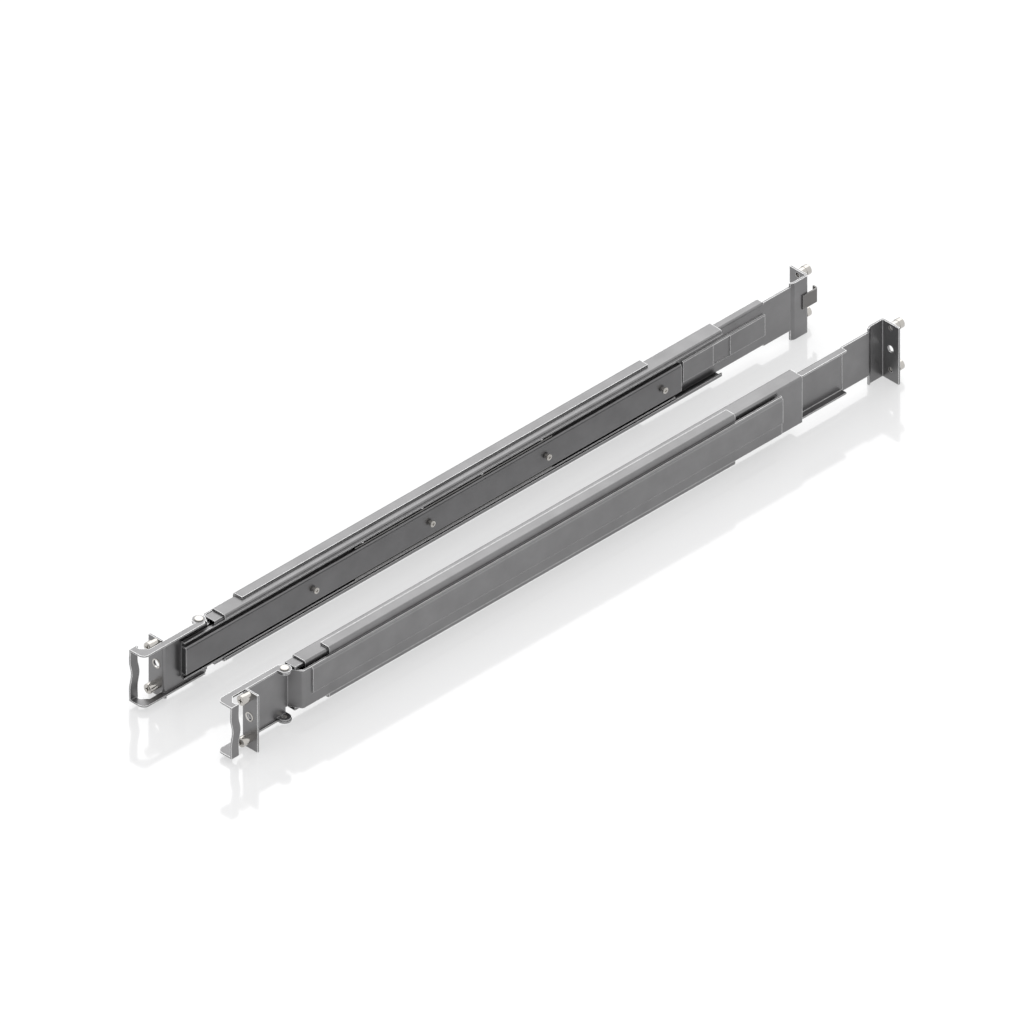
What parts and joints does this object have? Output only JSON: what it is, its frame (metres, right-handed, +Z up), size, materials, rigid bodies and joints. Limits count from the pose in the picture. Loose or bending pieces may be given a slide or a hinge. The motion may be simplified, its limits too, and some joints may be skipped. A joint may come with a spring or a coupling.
{
  "type": "server rail pair",
  "caption": "Pair of sliding ball-bearing server rails with telescoping rear brackets, pinned rack ears, swinging front latches and studded inner members.",
  "frame": {"origin": "centre of the pair at the level of its lowest edges", "axes": "+Y from the front ears to the rear ears, +Z up, +X from the left rail to the right rail"},
  "size_m": [0.0968, 0.5993, 0.0437],
  "materials": {
    "zinc_steel": "zinc-plated sheet steel, satin",
    "spring_steel": "spring steel, satin",
    "bright_steel": "nickel-plated, polished",
    "ball_steel": "polished",
    "black_plastic": "moulded, matt"
  },
  "bodies": {
    "fixed_rails": {"left_sleeve": "zinc_steel", "left_cabinet_rail": "zinc_steel", "left_front_bracket": "zinc_steel", "left_front_pins": "bright_steel", "left_pivot_pins": "bright_steel", "left_rivets": "bright_steel", "right_sleeve": "zinc_steel", "right_cabinet_rail": "zinc_steel", "right_front_bracket": "zinc_steel", "right_front_pins": "bright_steel", "right_pivot_pins": "bright_steel", "right_rivets": "bright_steel"},
    "left_rear": {"left_rear_bracket": "zinc_steel", "left_rear_pins": "bright_steel", "left_rear_clip": "spring_steel"},
    "left_middle": {"left_middle_member": "zinc_steel", "left_bumper": "black_plastic"},
    "left_inner": {"left_inner_member": "zinc_steel", "left_server_studs": "bright_steel"},
    "left_outer_race": {"left_outer_balls": "ball_steel", "left_outer_cage": "spring_steel"},
    "left_inner_race": {"left_inner_balls": "ball_steel", "left_inner_cage": "spring_steel"},
    "left_front_latch": {"left_latch": "zinc_steel"},
    "right_rear": {"right_rear_bracket": "zinc_steel", "right_rear_pins": "bright_steel", "right_rear_clip": "spring_steel"},
    "right_middle": {"right_middle_member": "zinc_steel", "right_bumper": "black_plastic"},
    "right_inner": {"right_inner_member": "zinc_steel", "right_server_studs": "bright_steel"},
    "right_outer_race": {"right_outer_balls": "ball_steel", "right_outer_cage": "spring_steel"},
    "right_inner_race": {"right_inner_balls": "ball_steel", "right_inner_cage": "spring_steel"},
    "right_front_latch": {"right_latch": "zinc_steel"}
  },
  "joints": [
    {"name": "left_depth_slide", "type": "slide", "parent": "fixed_rails", "child": "left_rear", "axis": [0, 1, 0], "range_m": [0, 0.13]},
    {"name": "left_middle_slide", "type": "slide", "parent": "fixed_rails", "child": "left_middle", "axis": [0, -1, 0], "range_m": [0, 0.22]},
    {"name": "left_inner_slide", "type": "slide", "parent": "left_middle", "child": "left_inner", "axis": [0, -1, 0], "range_m": [0, 0.22]},
    {"name": "left_outer_race_slide", "type": "slide", "parent": "fixed_rails", "child": "left_outer_race", "axis": [0, -1, 0], "range_m": [0, 0.11]},
    {"name": "left_inner_race_slide", "type": "slide", "parent": "left_middle", "child": "left_inner_race", "axis": [0, -1, 0], "range_m": [0, 0.11]},
    {"name": "left_latch_hinge", "type": "hinge", "parent": "fixed_rails", "child": "left_front_latch", "pos_m": [-0.0381, -0.2451, 0.0242], "axis": [0, 0, 1], "range_deg": [0, 10], "stiffness_Nm_per_rad": 0.2},
    {"name": "right_depth_slide", "type": "slide", "parent": "fixed_rails", "child": "right_rear", "axis": [0, 1, 0], "range_m": [0, 0.13]},
    {"name": "right_middle_slide", "type": "slide", "parent": "fixed_rails", "child": "right_middle", "axis": [0, -1, 0], "range_m": [0, 0.22]},
    {"name": "right_inner_slide", "type": "slide", "parent": "right_middle", "child": "right_inner", "axis": [0, -1, 0], "range_m": [0, 0.22]},
    {"name": "right_outer_race_slide", "type": "slide", "parent": "fixed_rails", "child": "right_outer_race", "axis": [0, -1, 0], "range_m": [0, 0.11]},
    {"name": "right_inner_race_slide", "type": "slide", "parent": "right_middle", "child": "right_inner_race", "axis": [0, -1, 0], "range_m": [0, 0.11]},
    {"name": "right_latch_hinge", "type": "hinge", "parent": "fixed_rails", "child": "right_front_latch", "pos_m": [0.0381, -0.2451, 0.0242], "axis": [0, 0, -1], "range_deg": [0, 10], "stiffness_Nm_per_rad": 0.2}
  ],
  "couplings": [
    {"joint": "left_outer_race_slide", "follows": "left_middle_slide", "ratio": 0.5},
    {"joint": "left_inner_race_slide", "follows": "left_inner_slide", "ratio": 0.5},
    {"joint": "right_outer_race_slide", "follows": "right_middle_slide", "ratio": 0.5},
    {"joint": "right_inner_race_slide", "follows": "right_inner_slide", "ratio": 0.5}
  ]
}
